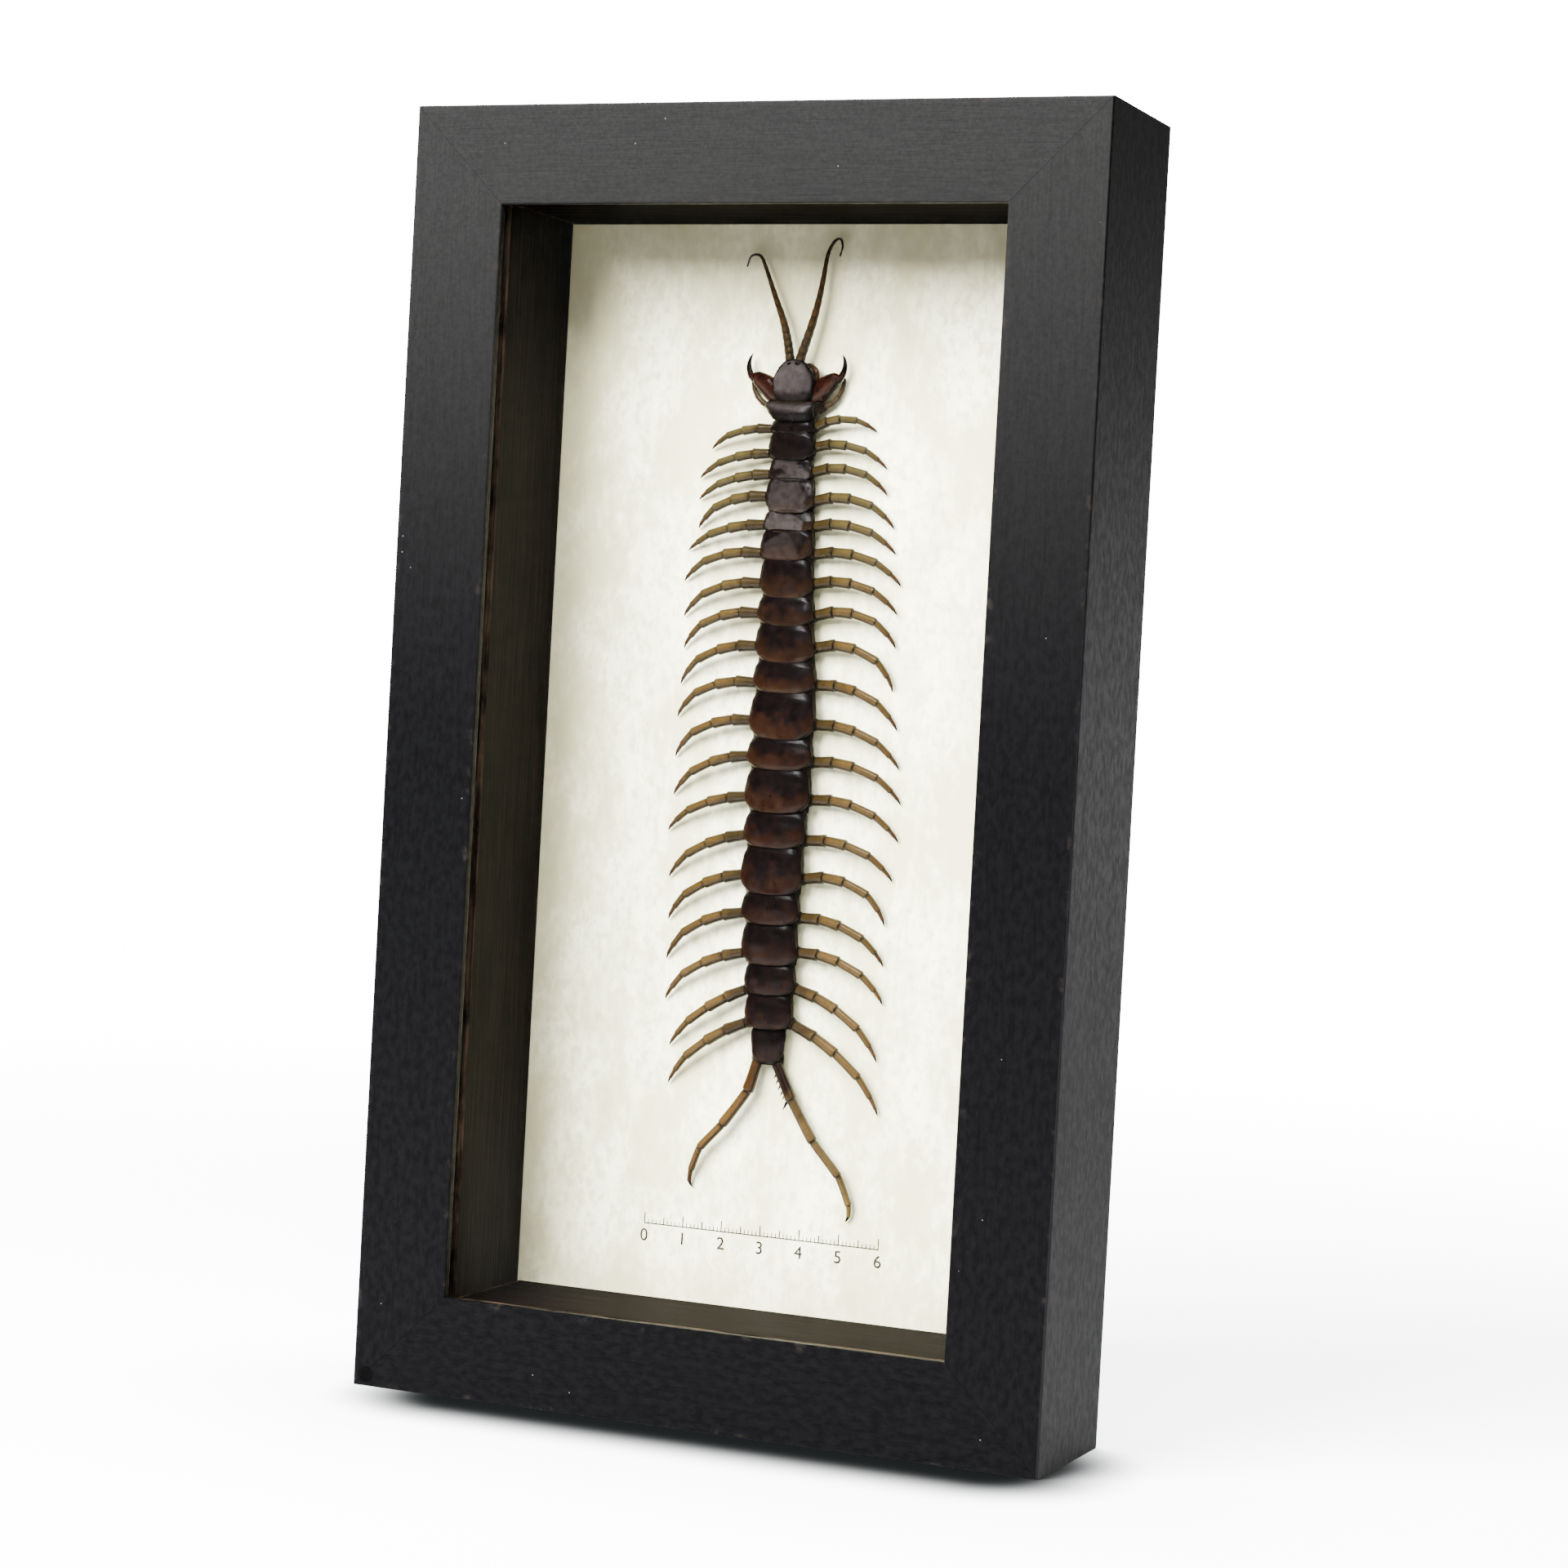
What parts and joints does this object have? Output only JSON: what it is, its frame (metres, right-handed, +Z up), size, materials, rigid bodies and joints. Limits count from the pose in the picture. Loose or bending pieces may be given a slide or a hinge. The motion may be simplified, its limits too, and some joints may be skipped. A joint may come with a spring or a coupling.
{
  "type": "framed giant centipede specimen",
  "caption": "Dried giant centipede spread flat, head up, on cream paper in a deep matt black wooden frame that stands on its lower edge behind clear glass.",
  "frame": {"origin": "middle of the frame's lower face, where it stands on the floor", "axes": "+Z up, along the animal from tail to head; -Y out through the glass towards the viewer; +X to the viewer's right, which is the animal's right"},
  "size_m": [0.17, 0.042, 0.3],
  "materials": {
    "frame_wood": "matt black stain over fine open grain",
    "liner_wood": "thin dark stain, raw brown on the front edges",
    "glass": "clear, thin and flat",
    "paper": "matt cream art paper, softly mottled",
    "shell": "dried shell, purplish black to red-brown, half glossy",
    "head_shell": "dried shell, grey-purple, soft sheen",
    "antennae": "dried brown, fine-grained",
    "pincers": "translucent red-brown with black claws",
    "legs": "olive-gold with dark joints and black claws",
    "trailing_legs": "red-brown thighs, tan ends"
  },
  "bodies": {
    "root": {"frame_rail_bottom": "frame_wood", "frame_rail_top": "frame_wood", "frame_stile_left": "frame_wood", "frame_stile_right": "frame_wood", "liner_left": "liner_wood", "liner_right": "liner_wood", "liner_bottom": "liner_wood", "liner_top": "liner_wood", "glass_pane": "glass", "paper_board": "paper", "trunk_front": "shell", "trunk_middle": "shell", "trunk_rear": "shell", "head": "head_shell", "antenna_left": "antennae", "antenna_right": "antennae", "pincer_left": "pincers", "pincer_right": "pincers", "leg_left_01": "legs", "leg_left_02": "legs", "leg_left_03": "legs", "leg_left_04": "legs", "leg_left_05": "legs", "leg_left_06": "legs", "leg_left_07": "legs", "leg_left_08": "legs", "leg_left_09": "legs", "leg_left_10": "legs", "leg_left_11": "legs", "leg_left_12": "legs", "leg_left_13": "legs", "leg_left_14": "legs", "leg_left_15": "legs", "leg_left_16": "legs", "leg_left_17": "legs", "leg_left_18": "legs", "leg_left_19": "legs", "leg_left_20": "legs", "leg_left_21": "trailing_legs", "leg_right_01": "legs", "leg_right_02": "legs", "leg_right_03": "legs", "leg_right_04": "legs", "leg_right_05": "legs", "leg_right_06": "legs", "leg_right_07": "legs", "leg_right_08": "legs", "leg_right_09": "legs", "leg_right_10": "legs", "leg_right_11": "legs", "leg_right_12": "legs", "leg_right_13": "legs", "leg_right_14": "legs", "leg_right_15": "legs", "leg_right_16": "legs", "leg_right_17": "legs", "leg_right_18": "legs", "leg_right_19": "legs", "leg_right_20": "legs", "leg_right_21": "trailing_legs"}
  },
  "joints": []
}
